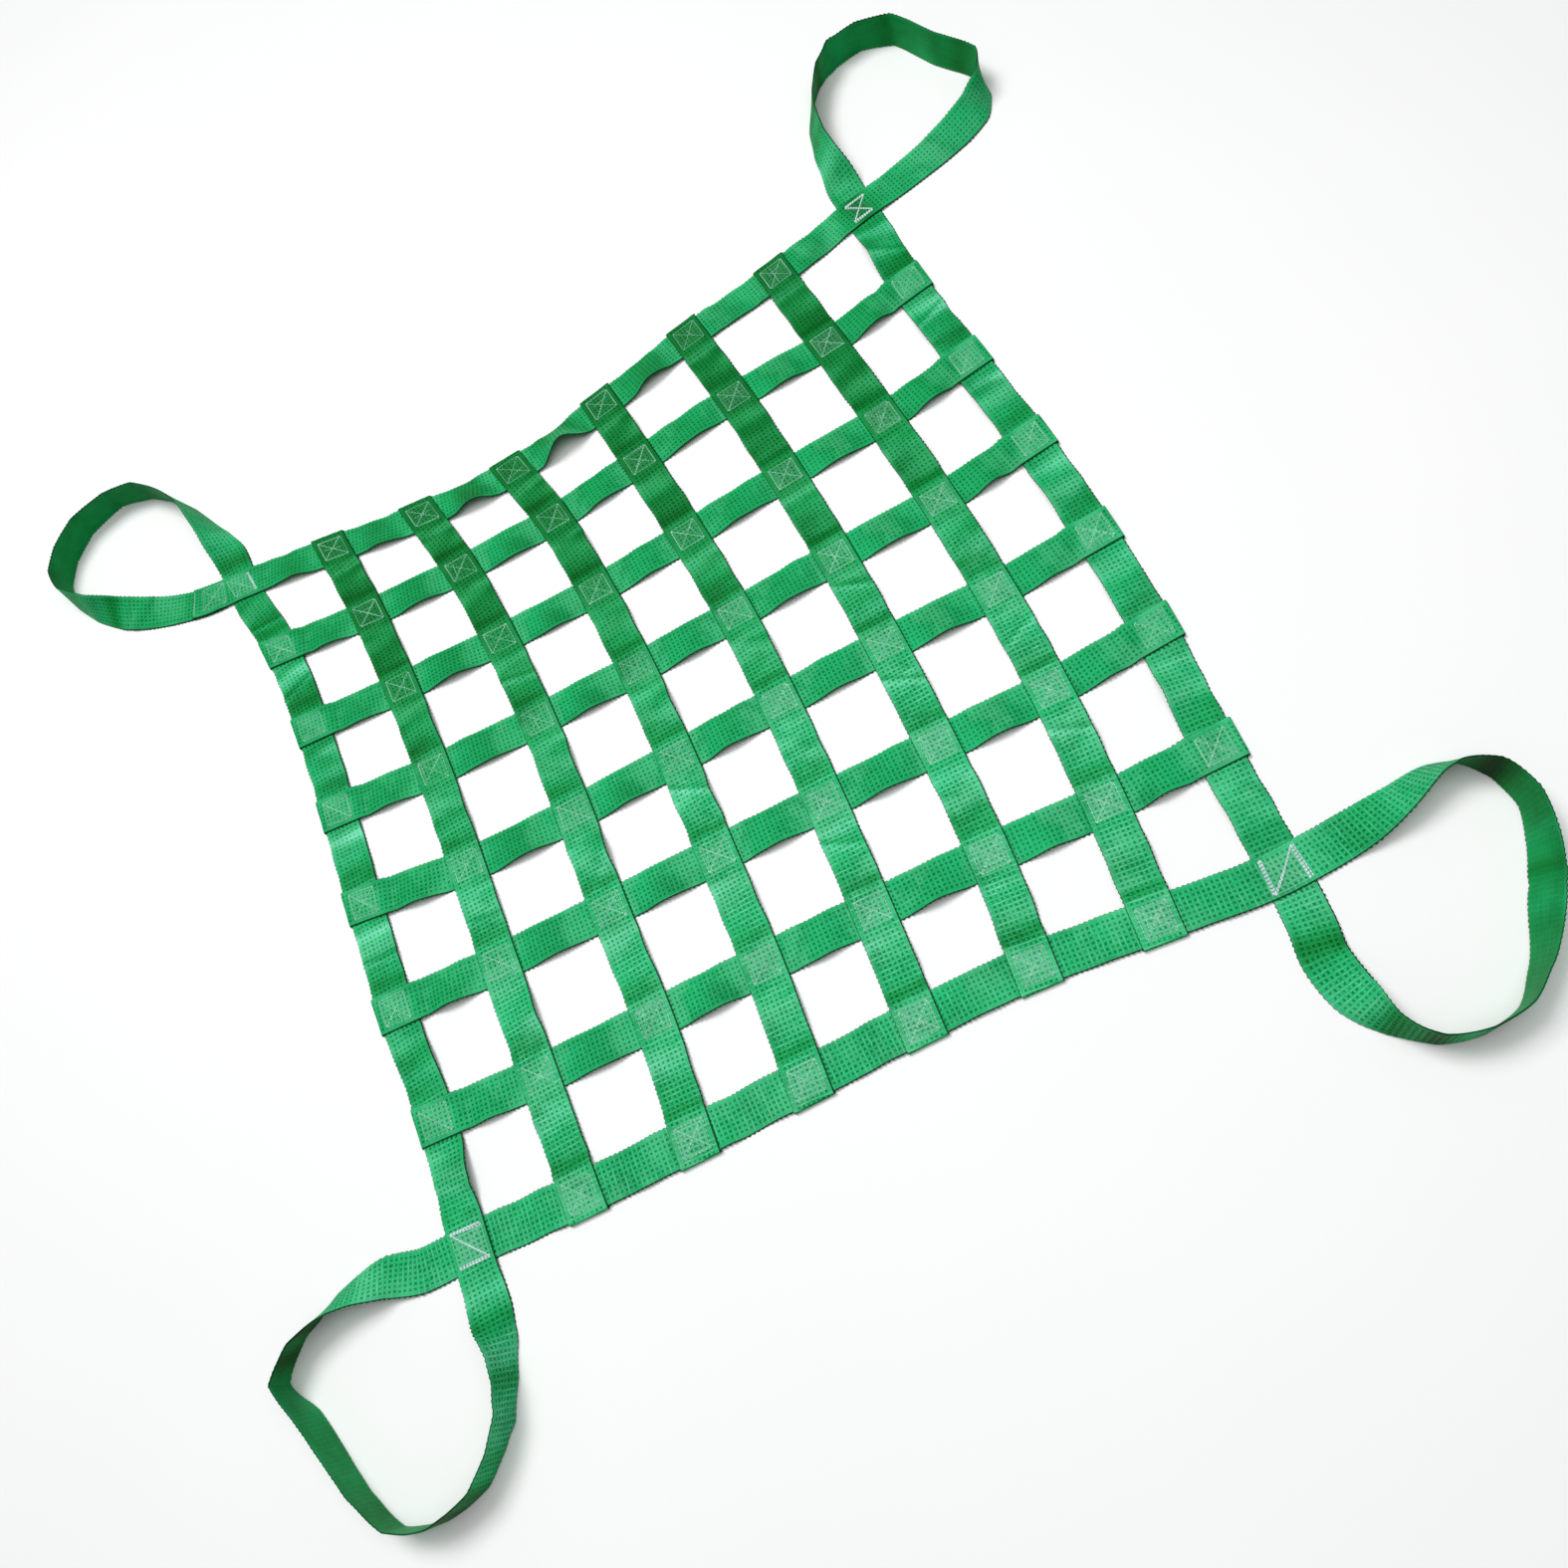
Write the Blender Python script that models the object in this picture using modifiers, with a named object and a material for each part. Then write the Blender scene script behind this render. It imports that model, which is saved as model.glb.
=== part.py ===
"""Cargo net of flat woven webbing, laid out on the floor with its four corner eyes open.

Eight rows of webbing (along X) cross eight columns (along Y). The outermost row and column on
each side are one long border strap. It crosses itself at every corner, stands up there as an
eye, and its two ends are lapped beside the north-west corner. Each inner strap lies over the
border at both ends and is folded round its outer edge, back under it. Inside the net the
columns lie over the rows. Everything is sewn, so nothing moves.

Lengths are in metres unless a table says millimetres. +Z is up and the floor is at zero.
"""

import math
import random

import bmesh
import bpy
import numpy as np

MM = 0.001

# The webbing
WIDTH = 0.050
THICKNESS = 0.0022
GAP = 0.0003
LAYER = THICKNESS + GAP  # height gained by lying on one more strap

# The net: rows are numbered 0 (north) to 7 (south), columns 0 (west) to 7 (east)
LAST = 7
PITCH = 0.145
NET_MIDDLE = (0.0313, -0.0307)  # middle of the mesh, seen from the middle of the whole part

# Where a strap lies on others: a level stretch, then a slope down to the floor
LAND = WIDTH / 2 + 0.002
RAMP = 0.025
RAMP_STEPS = 3
EDGE_ROOM = 0.0004  # between the floor and the lower edge of a strap that stands on edge

# Folded ends of the inner straps
FOLD_STEPS = 6
FOLD_ROOM = 0.0014  # between the border's edge and the fold round it
TAIL = WIDTH - 0.004
LAP_START = 0.082  # border's upper end, outward from the north-west corner's middle
LAP_END = 0.029  # border's lower end

# The sewn straps don't lie square. Sideways sway in mm where a strap crosses straps
# 0, 1, 3, 5, 6 and 7 of the other set.
SWAY_AT = (0, 1, 3, 5, 6, 7)
ROW_SWAY = (  # towards +Y, rows 0 to 7
    (15, -14, -54, 0, 18, 48),
    (18, -1, -17, 12, 13, 31),
    (19, 6, -11, 1, 4, 19),
    (25, 9, -5, -3, -3, 8),
    (28, 6, -2, -3, -9, -6),
    (21, 12, 2, -8, -13, -9),
    (15, 6, -1, -11, -20, -23),
    (11, 5, 3, 0, -16, -31),
)
COLUMN_SWAY = (  # towards +X, columns 0 to 7
    (-34, -4, 6, 2, 10, 4),
    (-28, -11, 3, 1, 1, 2),
    (-31, -8, 13, 8, 8, 0),
    (-30, -6, 14, 10, 6, -3),
    (-21, -8, 14, 9, 1, -8),
    (-12, 2, 16, 11, 2, -15),
    (-8, 3, 18, 11, -4, -23),
    (-6, -8, 8, 2, -15, -27),
)

# Corner eyes, from the row's leg round to the column's leg. Columns: mm outward along X and
# along Y from the corner's crossing, and degrees of lean (0 lies flat, 90 stands on edge with
# the top face outward).
EYES = {
    "north_west": (
        (62, 8, 0),
        (110, 23, 2),
        (150, 39, 14),
        (190, 60, 36),
        (230, 90, 62),
        (263, 132, 80),
        (267, 172, 90),
        (250, 209, 88),
        (214, 244, 86),
        (154, 261, 80),
        (103, 247, 88),
        (74, 220, 86),
        (42, 178, 80),
        (12, 98, 50),
        (3, 60, 20),
    ),
    "north_east": (
        (62, 9, 4),
        (128, 20, 12),
        (172, 29, 26),
        (209, 43, 42),
        (235, 67, 70),
        (243, 108, 98),
        (210, 173, 100),
        (180, 248, 96),
        (134, 272, 90),
        (90, 267, 90),
        (54, 244, 82),
        (25, 204, 74),
        (11, 172, 68),
        (1, 126, 60),
        (-1, 80, 42),
        (-1, 52, 14),
    ),
    "south_east": (
        (62, -2, 2),
        (92, -4, 12),
        (136, -10, 38),
        (180, -19, 62),
        (202, -15, 74),
        (229, 10, 94),
        (237, 50, 102),
        (223, 92, 112),
        (195, 138, 118),
        (149, 195, 102),
        (114, 222, 93),
        (72, 228, 90),
        (29, 216, 88),
        (0, 184, 72),
        (-13, 143, 30),
        (-15, 96, 8),
        (-7, 60, 2),
    ),
    "south_west": (
        (66, 0, 2),
        (107, -11, 18),
        (141, -12, 46),
        (167, -9, 60),
        (194, 0, 74),
        (219, 10, 78),
        (252, 45, 82),
        (228, 88, 94),
        (213, 127, 92),
        (190, 187, 88),
        (162, 233, 86),
        (137, 243, 90),
        (114, 247, 91),
        (88, 244, 90),
        (60, 235, 90),
        (30, 209, 90),
        (12, 185, 88),
        (-3, 150, 82),
        (-8, 105, 58),
        (-2, 66, 14),
    ),
}
OUTWARD = {  # signs of outward X and Y at each corner
    "north_west": (-1, 1),
    "north_east": (1, 1),
    "south_east": (1, -1),
    "south_west": (-1, -1),
}

# Lean in degrees of the border between its crossings, in the order of its route: north side
# eastward, east side southward, south side westward, west side northward. Less than zero
# raises the edge towards the mesh.
SIDE_LEANS = {
    "north": (-10, -10, -20, -32, -16, -2, 0),
    "east": (-14, -7, -7, -7, -5, -10, -5),
    "south": (3, 2, 4, 2, 0, 3, 0),
    "west": (-14, -5, 0, 3, 3, 2, 0),
}
ROW_LEAN = (-11, -4)  # range for the spans of the inner rows, south edge up
COLUMN_LEAN = (1, 8)  # range for the inner columns, east edge up
SPAN_LIFT = (0.0, 1.5)  # range in mm by which any span clears the floor
SEED = 11

EAST_PUFF = (0, 0, 0, 0, 1, 2)  # mm by which the east folds of rows 1 to 6 stand out further

GREEN = (0.03, 0.34, 0.10, 1.0)
ROUGHNESS = 0.55


class Spline:
    """Cubic curve through values at rising knots; limited, it never passes its values."""

    def __init__(self, knots, values, limited=False):
        self.knots = np.asarray(knots, float)
        self.values = np.asarray(values, float).reshape(len(knots), -1)
        steps = np.diff(self.knots)[:, None]
        chords = np.diff(self.values, axis=0) / steps
        before, after = chords[:-1], chords[1:]
        inner = (before * steps[1:] + after * steps[:-1]) / (steps[:-1] + steps[1:])
        if limited:
            steepest = 3 * np.minimum(np.abs(before), np.abs(after))
            inner = np.clip(inner, -steepest, steepest) * (before * after > 0)
        self.slopes = np.vstack((chords[:1], inner, chords[-1:]))

    def __call__(self, at):
        at = np.atleast_1d(np.asarray(at, float))
        i = np.clip(np.searchsorted(self.knots, at) - 1, 0, len(self.knots) - 2)
        step = (self.knots[i + 1] - self.knots[i])[:, None]
        t = (at - self.knots[i])[:, None] / step
        start, end = self.values[i], self.values[i + 1]
        ease = t * t * (3 - 2 * t)
        bend = t * (1 - t) * ((1 - t) * self.slopes[i] - t * self.slopes[i + 1]) * step
        return start + (end - start) * ease + bend


class Route:
    """A strap's middle line in plan, read by the distance along it."""

    FINE = 40  # steps between neighbouring points when its length is measured

    def __init__(self, points, closed=False):
        points = np.asarray(points, float)
        lead = 2 if closed else 0
        if closed:
            points = np.vstack((points[-2:], points, points[:3]))
        chords = np.linalg.norm(np.diff(points, axis=0), axis=1)
        knots = np.concatenate(([0.0], np.cumsum(chords)))
        self.curve = Spline(knots, points)
        spans = [np.linspace(a, b, self.FINE, endpoint=False) for a, b in zip(knots, knots[1:])]
        self.params = np.concatenate(spans + [knots[-1:]])
        walked = np.linalg.norm(np.diff(self.curve(self.params), axis=0), axis=1)
        self.lengths = np.concatenate(([0.0], np.cumsum(walked)))
        marks = self.lengths[:: self.FINE]
        self.lengths -= marks[lead]
        marks = marks - marks[lead]
        self.closed = closed
        self.marks = marks[lead : len(marks) - lead] if closed else marks
        self.length = self.marks[-1]

    def point(self, distance):
        if self.closed:
            distance = distance % self.length
        return self.curve(np.interp(distance, self.lengths, self.params))[0]

    def heading(self, distance):
        step = 1.0 * MM
        ahead = self.point(distance + step) - self.point(distance - step)
        return ahead / np.linalg.norm(ahead)


def lattice():
    """Middle of every crossing in plan, as crossing[row][column]."""
    row_sway = [Spline(SWAY_AT, sway) for sway in ROW_SWAY]
    column_sway = [Spline(SWAY_AT, sway) for sway in COLUMN_SWAY]
    half = LAST / 2 * PITCH
    crossing = np.zeros((LAST + 1, LAST + 1, 2))
    for row in range(LAST + 1):
        for column in range(LAST + 1):
            x = column * PITCH - half + column_sway[column](row)[0, 0] * MM
            y = half - row * PITCH + row_sway[row](column)[0, 0] * MM
            crossing[row, column] = (x + NET_MIDDLE[0], y + NET_MIDDLE[1])
    return crossing


def eye_points(corner, crossing):
    """Plan points of a corner's eye, from the row's leg to the column's leg."""
    row = 0 if corner.startswith("north") else LAST
    column = 0 if corner.endswith("west") else LAST
    signs = np.array(OUTWARD[corner]) * MM
    return [crossing[row, column] + signs * entry[:2] for entry in EYES[corner]]


def skew_between(route, distance, other_heading):
    """Tangent of the angle by which a crossed strap's line leans from square."""
    ahead = route.heading(distance)
    left = np.array((-ahead[1], ahead[0]))
    return float(other_heading @ ahead) / float(other_heading @ left)


def rise(offset, land, ramp=RAMP):
    """1 over the level stretch round a crossing, falling smoothly to 0 at the ramp's foot."""
    share = min(max((abs(offset) - land) / ramp, 0.0), 1.0)
    return 0.5 * (1 + math.cos(math.pi * share))


class Lie:
    """How a strap lies along its route: the height of its middle, its lean and its skew."""

    def __init__(self, route, crossings, spans, lean=None, skews=()):
        self.route = route
        self.crossings = crossings  # (distance, layers below, skew)
        self.spans = spans  # (start, end, lean in degrees, lift)
        self.lean_along = lean
        marks = [(d + side * LAND, skew) for d, _, skew in crossings for side in (-1, 1)]
        marks = sorted(marks + list(skews))
        self.skew_at = [mark[0] for mark in marks]
        self.skew_of = [mark[1] for mark in marks]

    def swell(self, distance):
        """Lean and lift that a span adds, both zero at its two ends."""
        for start, end, lean, lift in self.spans:
            if start < distance < end:
                share = math.sin(math.pi * (distance - start) / (end - start)) ** 2
                return math.radians(lean) * share, lift * share
        return 0.0, 0.0

    def lean(self, distance):
        lean = self.swell(distance)[0]
        if self.lean_along:
            lean += math.radians(self.lean_along(distance)[0, 0])
        return lean

    def height(self, distance):
        lean = self.lean(distance)
        height = THICKNESS / 2 * abs(math.cos(lean))
        height += (WIDTH / 2 + EDGE_ROOM) * abs(math.sin(lean))
        height += self.swell(distance)[1]
        for middle, layers, skew in self.crossings:
            height += layers * LAYER * rise(distance - middle, LAND * math.hypot(1, skew))
        return height

    def skew(self, distance):
        return float(np.interp(distance, self.skew_at, self.skew_of))

    def edges(self, distance, height=None):
        """The two edge points, left and right, of the strap's middle surface."""
        lean = self.lean(distance)
        if height is None:
            height = self.height(distance)
        ahead = self.route.heading(distance)
        left = np.array((-ahead[1], ahead[0]))
        across = (left + self.skew(distance) * ahead) * WIDTH / 2 * math.cos(lean)
        middle = self.route.point(distance)
        up = WIDTH / 2 * math.sin(lean)
        return (*(middle + across), height + up), (*(middle - across), height - up)

    def stops(self):
        """Distances of the cross lines that carry the strap over its crossings."""
        found = []
        for middle, layers, skew in self.crossings:
            land = LAND * math.hypot(1, skew)
            steps = range(RAMP_STEPS + 1) if layers else (0,)
            for step in steps:
                found += [middle - land - RAMP * step / RAMP_STEPS]
                found += [middle + land + RAMP * step / RAMP_STEPS]
        for start, end, _, _ in self.spans:
            lowest = start + RAMP
            for share in (0.0, 0.5, 1.0):
                found.append(lowest + (end - start - 2 * RAMP) * share)
        return thinned(sorted(found))


def thinned(distances, least=0.003):
    """The same rising distances without those that crowd the one before."""
    kept = [distances[0]]
    for distance in distances[1:]:
        if distance - kept[-1] > least:
            kept.append(distance)
    return kept


def span_list(marks, skews, leans, lifts):
    """Spans between the level stretches of neighbouring crossings."""
    lands = [LAND * math.hypot(1, skew) for skew in skews]
    starts = [mark + land for mark, land in zip(marks, lands)]
    ends = [mark - land for mark, land in zip(marks[1:], lands[1:])]
    return list(zip(starts, ends, leans, lifts))


def inner_strap(name, points, headings, over, lean_range, rng, puff=0.0):
    """A strap that runs across the net, with both ends folded round the border."""
    points = np.asarray(points)
    lead_in = points[0] + (points[0] - points[1]) * 0.6
    lead_out = points[-1] + (points[-1] - points[-2]) * 0.6
    route = Route(np.vstack((lead_in, points, lead_out)))
    marks = route.marks[1:-1]
    layers = [2] + [over] * (LAST - 1) + [2]
    skews = [skew_between(route, mark, head) for mark, head in zip(marks, headings)]
    leans = [rng.uniform(*lean_range) for _ in range(LAST)]
    lifts = [rng.uniform(*SPAN_LIFT) * MM for _ in range(LAST)]
    lie = Lie(route, list(zip(marks, layers, skews)), span_list(marks, skews, leans, lifts))

    ends = []
    for mark, skew, side in ((marks[0], skews[0], -1), (marks[-1], skews[-1], 1)):
        ends.append(mark + side * (WIDTH / 2 + FOLD_ROOM) * math.hypot(1, skew))
    inner = [stop for stop in lie.stops() if marks[0] < stop < marks[-1]]
    rows = folded_end(lie, ends[0], -1)
    rows += [lie.edges(stop) for stop in inner]
    rows += reversed(folded_end(lie, ends[1], 1, puff))
    return strap_object(name, rows)


def folded_end(lie, edge, side, puff=0.0):
    """Cross lines from the tail's end, under the border, round its edge and up on top."""
    low = THICKNESS / 2
    rows = [lie.edges(edge - side * TAIL, low), lie.edges(edge, low)]
    for step in range(1, FOLD_STEPS):
        turn = math.pi * step / FOLD_STEPS
        reach = edge + side * (LAYER + puff) * math.sin(turn)
        rows.append(lie.edges(reach, low + LAYER * (1 - math.cos(turn))))
    rows.append(lie.edges(edge, low + 2 * LAYER))
    return rows


def border_strap(name, crossing):
    """The one strap that runs round the net and forms the four eyes."""
    north = [crossing[0, c] for c in range(LAST + 1)]
    east = [crossing[r, LAST] for r in range(LAST + 1)]
    south = [crossing[LAST, c] for c in range(LAST, -1, -1)]
    west = [crossing[r, 0] for r in range(LAST, -1, -1)]
    sides = (("north", north), ("east", east), ("south", south), ("west", west))
    turns = ("north_east", "south_east", "south_west", "north_west")

    points, leans, starts, eyes = [], [], [], []
    for (_, side), corner in zip(sides, turns):
        starts.append(len(points))
        points += side
        leans += [0] * len(side)
        eye, table = eye_points(corner, crossing), EYES[corner]
        if corner in ("south_east", "north_west"):
            eye, table = eye[::-1], table[::-1]
        eyes.append((len(points), len(points) + len(eye)))
        points += eye
        leans += [entry[2] for entry in table]
    route = Route(points, closed=True)
    marks = route.marks
    lean = Spline(marks, leans + [0], limited=True)

    crossings, spans = [], []
    over_at_start = {"north": True, "east": False, "south": True, "west": True}
    over_at_end = {"north": True, "east": False, "south": False, "west": False}
    for (side, side_points), start in zip(sides, starts):
        for k in range(len(side_points)):
            distance = marks[start + k]
            other = other_heading(crossing, side, k)
            layers = 1
            if k == 0:
                layers = int(over_at_start[side])
            elif k == LAST:
                layers = int(over_at_end[side])
            crossings.append((distance, layers, skew_between(route, distance, other)))
        at, _, skews = zip(*crossings[-LAST - 1 :])
        spans += span_list(at, skews, SIDE_LEANS[side], [0.0] * LAST)
    square = [(marks[a], 0.0) for a, _ in eyes] + [(marks[b - 1], 0.0) for _, b in eyes]
    lie = Lie(route, crossings, spans, lean, square)

    eye_stops = []
    for first, last in eyes:
        reach = marks[last] - marks[first - 1]
        count = 2 * (last - first) + 6
        eye_stops += [marks[first - 1] + reach * k / count for k in range(1, count)]
    keep_off = LAND + RAMP
    corner_marks = [marks[a - 1] for a, _ in eyes] + [marks[b] for _, b in eyes]
    eye_stops = [s for s in eye_stops if min(abs(s - m) for m in corner_marks) > keep_off]
    last_stop = route.length - LAP_END
    stops = [s for s in lie.stops() if LAND < s < last_stop] + eye_stops + [last_stop]
    rows = [lie.edges(s, THICKNESS / 2 + LAYER) for s in (-LAP_START, -LAP_START / 2, -LAND, LAND)]
    rows += [lie.edges(s) for s in thinned(sorted(stops))]
    return strap_object(name, rows)


def other_heading(crossing, side, k):
    """Direction of the strap that crosses a side of the border at its k-th crossing."""
    if side in ("north", "south"):
        column = k if side == "north" else LAST - k
        row = 0 if side == "north" else LAST - 1
        ahead = crossing[row, column] - crossing[row + 1, column]
    else:
        row = k if side == "east" else LAST - k
        column = LAST - 1 if side == "east" else 0
        ahead = crossing[row, column + 1] - crossing[row, column]
    return ahead / np.linalg.norm(ahead)


def strap_object(name, rows):
    """Lofts the cross lines into an open ribbon and thickens it to webbing."""
    mesh = bpy.data.meshes.new(name)
    bm = bmesh.new()
    grid = [[bm.verts.new(point) for point in row] for row in rows]
    for (left, right), (next_left, next_right) in zip(grid, grid[1:]):
        bm.faces.new((left, right, next_right, next_left))
    bm.to_mesh(mesh)
    bm.free()
    strap = bpy.data.objects.new(name, mesh)
    thicken = strap.modifiers.new("webbing", "SOLIDIFY")
    thicken.thickness = THICKNESS
    thicken.offset = 0.0
    thicken.use_even_offset = True
    strap.data.materials.append(webbing_material(name))
    return strap


def webbing_material(name):
    material = bpy.data.materials.new(name + "_webbing")
    material.use_nodes = True
    shader = material.node_tree.nodes["Principled BSDF"]
    shader.inputs["Base Color"].default_value = GREEN
    shader.inputs["Roughness"].default_value = ROUGHNESS
    shader.inputs["Metallic"].default_value = 0.0
    return material


def heading_through(points, k):
    """Direction of a line of crossings at its k-th one."""
    first, last = max(k - 1, 0), min(k + 1, len(points) - 1)
    ahead = points[last] - points[first]
    return ahead / np.linalg.norm(ahead)


def build_net():
    for old in list(bpy.data.objects):
        bpy.data.objects.remove(old, do_unlink=True)
    collection = bpy.data.collections.new("cargo_net")
    bpy.context.scene.collection.children.link(collection)

    crossing = lattice()
    rng = random.Random(SEED)
    straps = [border_strap("border_strap", crossing)]
    for row in range(1, LAST):
        headings = [heading_through(crossing[:, c], row) for c in range(LAST + 1)]
        line, puff = crossing[row], EAST_PUFF[row - 1] * MM
        strap = inner_strap(f"row_strap_{row}", line, headings, 0, ROW_LEAN, rng, puff)
        straps.append(strap)
    for column in range(1, LAST):
        headings = [heading_through(crossing[r], column) for r in range(LAST + 1)]
        line = crossing[:, column]
        strap = inner_strap(f"column_strap_{column}", line, headings, 1, COLUMN_LEAN, rng)
        straps.append(strap)
    for strap in straps:
        collection.objects.link(strap)


build_net()
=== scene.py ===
"""Dressed cargo net: woven green webbing with its sewing, laid on a pale floor."""

import math
import random
from functools import partialmethod

import bpy
import numpy as np
from mathutils import Matrix


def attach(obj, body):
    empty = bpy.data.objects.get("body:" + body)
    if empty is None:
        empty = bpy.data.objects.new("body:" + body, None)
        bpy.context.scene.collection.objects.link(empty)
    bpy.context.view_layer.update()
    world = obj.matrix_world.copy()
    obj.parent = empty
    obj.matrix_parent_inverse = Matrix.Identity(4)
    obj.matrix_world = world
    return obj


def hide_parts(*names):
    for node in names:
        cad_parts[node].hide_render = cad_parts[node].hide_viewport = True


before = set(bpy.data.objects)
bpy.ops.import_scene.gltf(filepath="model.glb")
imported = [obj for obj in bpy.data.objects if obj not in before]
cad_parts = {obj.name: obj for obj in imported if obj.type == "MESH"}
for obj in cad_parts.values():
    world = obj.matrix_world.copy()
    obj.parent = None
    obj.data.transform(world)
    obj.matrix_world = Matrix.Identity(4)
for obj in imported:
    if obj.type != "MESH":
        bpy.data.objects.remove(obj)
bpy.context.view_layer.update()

MM = 0.001

# The net's sizes, as in the part
WIDTH = 0.050
THICKNESS = 0.0022
LAYER = 0.0025
LAST = 7  # the last row and the last column, counted from 0
PITCH = 0.145
NET_MIDDLE = (0.0313, -0.0307)
LAND = WIDTH / 2 + 0.002
BORDER_RAMP = 0.025
INNER_RAMP = 0.017
HELD_RAMP = 0.020  # how far from a crossing a strap is still held
EDGE_ROOM = 0.0004
FOLD_ROOM = 0.0002
FOLD_REACH = 0.0014
TAIL = WIDTH - 0.004
LEAD = 0.6  # how far a route goes on past the border, in pitches
LAP_START = 0.082
LAP_END = 0.029
LAP_SEAM = LAP_START - 0.047

# Sideways sway in mm at straps 0, 1, 3, 5, 6 and 7 of the other set
SWAY_AT = (0, 1, 3, 5, 6, 7)
ROW_SWAY = (
    (15, -14, -54, 0, 18, 48), (18, -1, -17, 12, 13, 31), (19, 6, -11, 1, 4, 19),
    (25, 9, -5, -3, -3, 8), (28, 6, -2, -3, -9, -6), (21, 12, 2, -8, -13, -9),
    (15, 6, -1, -11, -20, -23), (11, 5, 3, 0, -16, -31),
)
COLUMN_SWAY = (
    (-34, -4, 6, 2, 10, 4), (-28, -11, 3, 1, 1, 2), (-31, -8, 13, 8, 8, 0),
    (-30, -6, 14, 10, 6, -3), (-21, -8, 14, 9, 1, -8), (-12, 2, 16, 11, 2, -15),
    (-8, 3, 18, 11, -4, -23), (-6, -8, 8, 2, -15, -27),
)

# Corner eyes: mm outward along X and Y from the corner's crossing, degrees of lean
EYES = {
    "nw": (
        (62, 8, 0), (110, 23, 2), (150, 39, 14), (190, 60, 36), (230, 90, 62), (263, 132, 80),
        (267, 172, 90), (250, 209, 88), (214, 244, 86), (154, 261, 80), (103, 247, 88),
        (74, 220, 86), (42, 178, 80), (12, 98, 50), (3, 60, 20),
    ),
    "ne": (
        (62, 9, 4), (128, 20, 12), (172, 29, 26), (209, 43, 42), (235, 67, 70), (243, 108, 98),
        (210, 173, 100), (180, 248, 96), (134, 272, 90), (90, 267, 90), (54, 244, 82),
        (25, 204, 74), (11, 172, 68), (1, 126, 60), (-1, 80, 42), (-1, 52, 14),
    ),
    "se": (
        (62, -2, 2), (92, -4, 12), (136, -10, 38), (180, -19, 62), (202, -15, 74), (229, 10, 94),
        (237, 50, 102), (223, 92, 112), (195, 138, 118), (149, 195, 102), (114, 222, 93),
        (72, 228, 90), (29, 216, 88), (0, 184, 72), (-13, 143, 30), (-15, 96, 8), (-7, 60, 2),
    ),
    "sw": (
        (66, 0, 2), (107, -11, 18), (141, -12, 46), (167, -9, 60), (194, 0, 74), (219, 10, 78),
        (252, 45, 82), (228, 88, 94), (213, 127, 92), (190, 187, 88), (162, 233, 86),
        (137, 243, 90), (114, 247, 91), (88, 244, 90), (60, 235, 90), (30, 209, 90), (12, 185, 88),
        (-3, 150, 82), (-8, 105, 58), (-2, 66, 14),
    ),
}
SIDE_LEANS = {
    "north": (-10, -10, -20, -32, -16, -2, 0),
    "east": (-14, -7, -7, -7, -5, -10, -5),
    "south": (3, 2, 4, 2, 0, 3, 0),
    "west": (-14, -5, 0, 3, 3, 2, 0),
}
# Layers under the border strap at the start and end of each side, going round
END_LAYERS = {"north": (1, 1), "east": (0, 0), "south": (1, 0), "west": (1, 0)}
SPAN_LIFT = (0.0, 1.5)
CUT_AT = 3  # the crossing of the south side where the border is cut into two pieces

# Inner straps: layers under them, lean in degrees, flutter, mm that each last fold stands out
INNER = {
    "row": (0, (-11, -4), 0.45, (0, 0, 0, 0, 1, 2)),
    "column": (1, (1, 8), 0.85, (0, 0, 0, 0, 0, 0)),
}
BORDER_FLUTTER = 0.7

STRAP_SEED = 11
BORDER_SEED = 3
CORNER_SEED = 21

# The weave: dimples on a square lattice, seven across the strap, a mesh line every half of it
DIMPLE_PITCH = 0.0058
STEP = 0.0029
HALVES = 2
DIMPLE_DEPTH = 0.00026
UNDER_DEPTH = 0.35  # of the dimples on the bottom face
RIB_HEIGHT = 0.08 * MM
SCALLOP = 0.0006
HALF = 0.0010  # half the thickness that shows
LOWEST = 0.0001
UNDER_U = 20  # the bottom face's U is this many pitches on from the top face's

# Soft bends between crossings: mean, size, longest and shortest wave in metres
TWIST = (0, np.radians(1.8), 0.16, 0.05)
WEAVING = (0, 0.6 * MM, 0.12, 0.05)
RISING = (1, 0.85 * MM, 0.13, 0.038)
CUPPING = (0, 0.5 * MM, 0.12, 0.04)

# How far the eyes bend in kinks, as stiff webbing does, from the north-east round
STIFF = (0.65, 0.30, 0.60, 0.65)
SOFT_STIFF = 0.30
CALM = 0.75  # how much less a stiff eye flutters
# PLAIN: how much less painted light and shade a stiff eye gets by where it faces
PLAIN = 0.7  # how much less it is shaded by where it faces

# Painted light and shade along a span of a strap that runs north to south: share from the north,
# level
PAINTED_SHADING_ALONG = (
    (0, -0.3), (0.06, -0.2), (0.18, 1), (0.35, 0.6), (0.6, -0.3), (0.8, -1), (0.97, -0.9),
    (1, -0.3),
)
TONE_STRENGTH = (0.6, 1.25)
TONE_FADE = ((-0.5, 0.2), (0.55, 1.0))  # places in Y, and the share of the tone there
# Painted shade beside the crossings, strongest in the north
CROSSING_SHADE = 0.8
CROSSING_FADE = ((0.0, 0.35), (0.0, 1.0))
CROSSING_REACH = 22 * MM

# Painted light and shade by where the cloth faces: lighter towards the south, on faces that look
# up
FACING = 0.22
FACING_LIMITS = (-1.3, 1.1)
UPRIGHT = 0.80
UPRIGHT_REACH = 0.12
BORDER_LIMITS = (-3.2, 1.6)
INNER_LIMITS = (-1.6, 1.2)
# Painted shade on the folds of the inner straps, where the faces don't look up
FOLD_SHADE = 1.0
# Painted shadow along the edge that faces south and east
SHADED_HEADING = (-0.87, -0.5)  # of a strap whose left edge is the darkest
SHADED_SLOPE = 3
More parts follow.
